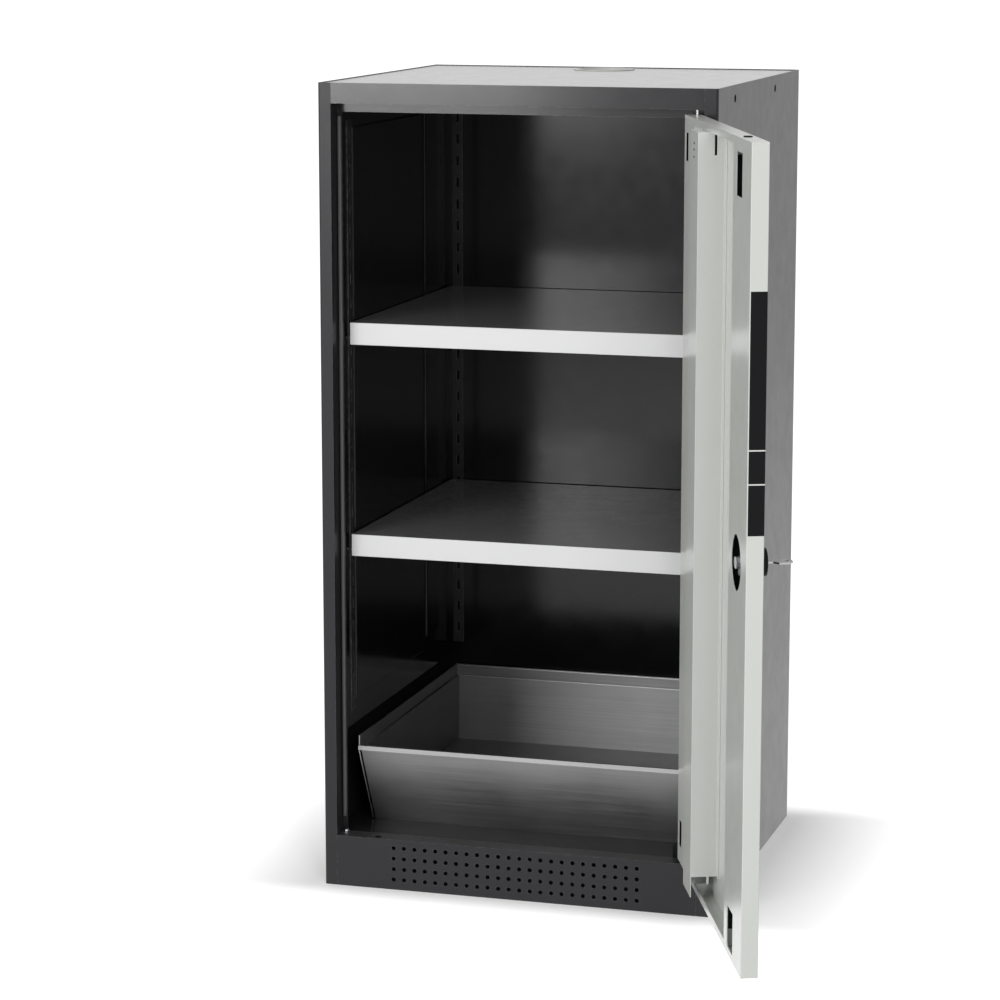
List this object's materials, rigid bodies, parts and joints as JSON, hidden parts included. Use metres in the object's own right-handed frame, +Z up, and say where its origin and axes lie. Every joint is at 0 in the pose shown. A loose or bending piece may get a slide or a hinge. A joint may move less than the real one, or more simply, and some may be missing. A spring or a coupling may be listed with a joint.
{
  "type": "chemical storage cabinet",
  "caption": "Low steel chemical cabinet with a hinged inset door, folded shelves, a sump tray, an air outlet and a key lock that drives locking rods.",
  "frame": {"origin": "centre of the cabinet's footprint at floor level", "axes": "+Z up, +X to the right seen from the front, +Y from the door opening to the back"},
  "size_m": [0.727, 0.9811, 1.105],
  "materials": {
    "anthracite_paint": "satin",
    "interior_paint": "semi-gloss",
    "upright_steel": "satin",
    "zinc_steel": "zinc plated",
    "pin_steel": "polished",
    "shelf_paint": "gloss",
    "shelf_trim_paint": "satin",
    "tray_steel": "mill finish",
    "door_paint": "satin",
    "black_plastic": "fine grain",
    "white_plastic": "smooth"
  },
  "bodies": {
    "carcass": {"left_side_panel": "anthracite_paint", "right_side_panel": "anthracite_paint", "back_panel": "anthracite_paint", "top_panel": "anthracite_paint", "base_plate": "anthracite_paint", "floor_panel": "interior_paint", "perforated_plinth": "anthracite_paint", "top_front_rail": "anthracite_paint", "left_inner_lining": "interior_paint", "right_inner_lining": "interior_paint", "rear_inner_lining": "interior_paint", "front_left_upright": "upright_steel", "front_right_upright": "upright_steel", "rear_left_upright": "upright_steel", "rear_right_upright": "upright_steel", "upper_shelf_clips": "zinc_steel", "lower_shelf_clips": "zinc_steel", "air_outlet_collar": "white_plastic", "air_box": "interior_paint", "side_hole_plugs": "black_plastic", "upper_pivot_bracket": "black_plastic", "upper_pivot_pin": "pin_steel", "lower_pivot_bracket": "black_plastic", "lower_pivot_pin": "pin_steel", "door_thrust_washer": "white_plastic", "rebate_stud": "zinc_steel"},
    "upper_shelf": {"upper_shelf_pan": "shelf_paint", "upper_shelf_trim": "shelf_trim_paint"},
    "lower_shelf": {"lower_shelf_pan": "shelf_paint", "lower_shelf_trim": "shelf_trim_paint"},
    "sump_tray_body": {"sump_tray": "tray_steel"},
    "door": {"door_shell": "door_paint", "door_stiffener": "door_paint", "door_edge_grip": "black_plastic", "grip_inlays": "white_plastic", "lock_housing": "black_plastic", "lock_escutcheon": "black_plastic", "rod_guides": "black_plastic", "upper_pivot_block": "black_plastic", "lower_pivot_block": "black_plastic"},
    "lock_core": {"lock_spindle": "zinc_steel", "lock_knob": "black_plastic", "lock_cam": "zinc_steel", "lock_nut": "zinc_steel"},
    "key_body": {"key": "zinc_steel"},
    "upper_rod": {"upper_locking_rod": "zinc_steel"},
    "lower_rod": {"lower_locking_rod": "zinc_steel"}
  },
  "joints": [
    {"name": "door_hinge", "type": "hinge", "parent": "carcass", "child": "door", "pos_m": [0.2443, -0.2545, 0.574], "axis": [0, 0, 1], "range_deg": [-112, 8]},
    {"name": "upper_shelf_lift", "type": "slide", "parent": "carcass", "child": "upper_shelf", "axis": [0, 0, 1], "range_m": [0, 0.03]},
    {"name": "lower_shelf_lift", "type": "slide", "parent": "carcass", "child": "lower_shelf", "axis": [0, 0, 1], "range_m": [0, 0.03]},
    {"name": "sump_tray_lift", "type": "slide", "parent": "carcass", "child": "sump_tray_body", "axis": [0, 0, 1], "range_m": [0, 0.05]},
    {"name": "upper_rod_slide", "type": "slide", "parent": "door", "child": "upper_rod", "axis": [0, 0, 1], "range_m": [0, 0.0226]},
    {"name": "lower_rod_slide", "type": "slide", "parent": "door", "child": "lower_rod", "axis": [0, 0, -1], "range_m": [0, 0.0226]},
    {"name": "lock_turn", "type": "hinge", "parent": "door", "child": "lock_core", "pos_m": [0.40909, -0.6477, 0.569], "axis": [0.9272, 0.3746, 0], "range_deg": [0, 90]},
    {"name": "key_draw", "type": "slide", "parent": "lock_core", "child": "key_body", "axis": [0.9272, 0.3746, 0], "range_m": [0, 0.03]}
  ],
  "couplings": [
    {"joint": "lock_turn", "follows": "upper_rod_slide", "rad_per_m": 69.42},
    {"joint": "lower_rod_slide", "follows": "upper_rod_slide", "ratio": 1}
  ]
}
